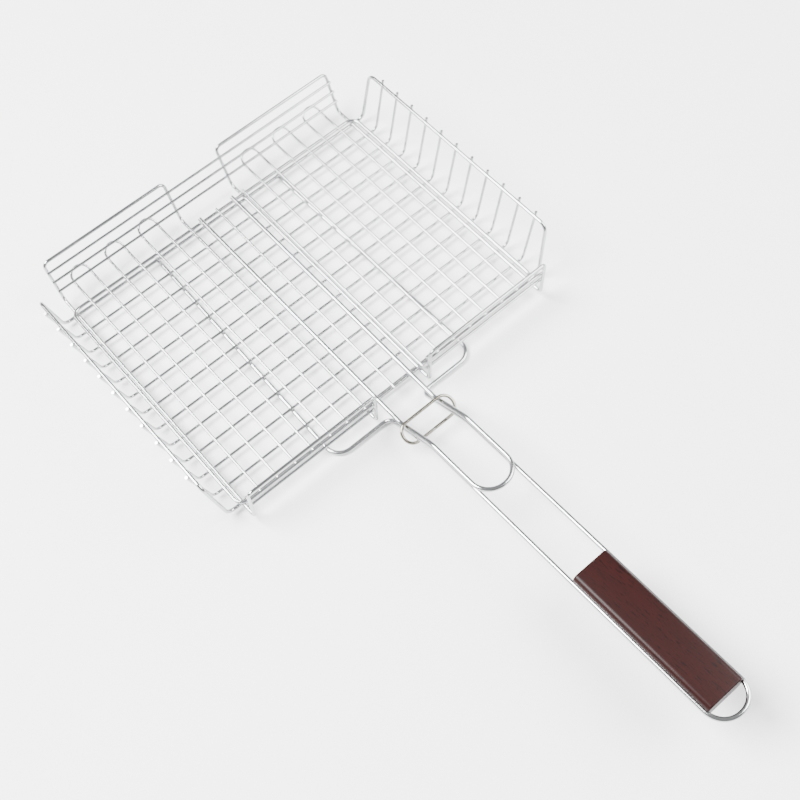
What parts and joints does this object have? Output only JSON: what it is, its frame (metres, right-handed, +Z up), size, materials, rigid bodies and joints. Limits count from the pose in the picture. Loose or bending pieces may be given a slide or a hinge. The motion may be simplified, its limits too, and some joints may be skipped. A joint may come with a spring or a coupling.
{
  "type": "grill basket",
  "caption": "Rectangular wire grill basket with flared side walls, a hinged wire lid that hooks to the back wall, a long wire handle with a wooden grip, and a sliding locking ring.",
  "frame": {"origin": "middle of the footprint, on the surface that the basket stands on", "axes": "+X to the right seen from the grip, +Y from the grip to the back wall, +Z up"},
  "size_m": [0.369, 0.653, 0.0613],
  "materials": {
    "chrome_wire": "bright nickel-chrome plating on steel wire",
    "ring_chrome": "bright nickel plating, a little duller than the basket wire",
    "stained_wood": "dark red-brown stained hardwood under satin varnish"
  },
  "bodies": {
    "basket": {"side_wall_frame": "chrome_wire", "cross_rib_01": "chrome_wire", "cross_rib_02": "chrome_wire", "cross_rib_03": "chrome_wire", "cross_rib_04": "chrome_wire", "cross_rib_05": "chrome_wire", "cross_rib_06": "chrome_wire", "cross_rib_07": "chrome_wire", "cross_rib_08": "chrome_wire", "cross_rib_09": "chrome_wire", "cross_rib_10": "chrome_wire", "cross_rib_11": "chrome_wire", "left_grid_frame": "chrome_wire", "right_grid_frame": "chrome_wire", "left_front_wire_low": "chrome_wire", "left_front_wire_middle": "chrome_wire", "left_front_wire_top": "chrome_wire", "right_front_wire_low": "chrome_wire", "right_front_wire_middle": "chrome_wire", "right_front_wire_top": "chrome_wire", "back_wall_wire_low": "chrome_wire", "back_wall_wire_middle": "chrome_wire", "back_wall_wire_top": "chrome_wire", "handle_wire": "chrome_wire", "wooden_grip": "stained_wood"},
    "lid": {"lid_border": "chrome_wire", "lid_hook_wire_left_1": "chrome_wire", "lid_hook_wire_left_2": "chrome_wire", "lid_hook_wire_left_3": "chrome_wire", "lid_hook_wire_right_1": "chrome_wire", "lid_hook_wire_right_2": "chrome_wire", "lid_hook_wire_right_3": "chrome_wire", "lid_wire_left": "chrome_wire", "lid_wire_middle": "chrome_wire", "lid_wire_right": "chrome_wire", "lid_handle_wire": "chrome_wire"},
    "ring": {"locking_ring": "ring_chrome"}
  },
  "joints": [
    {"name": "lid_hinge", "type": "hinge", "parent": "basket", "child": "lid", "pos_m": [0, 0.31318, 0.02111], "axis": [-1, 0, 0], "range_deg": [0, 112]},
    {"name": "ring_travel", "type": "hinge", "parent": "basket", "child": "ring", "pos_m": [0, -0.06255, -0.08352], "axis": [1, 0, 0], "range_deg": [0, 47.5]}
  ]
}
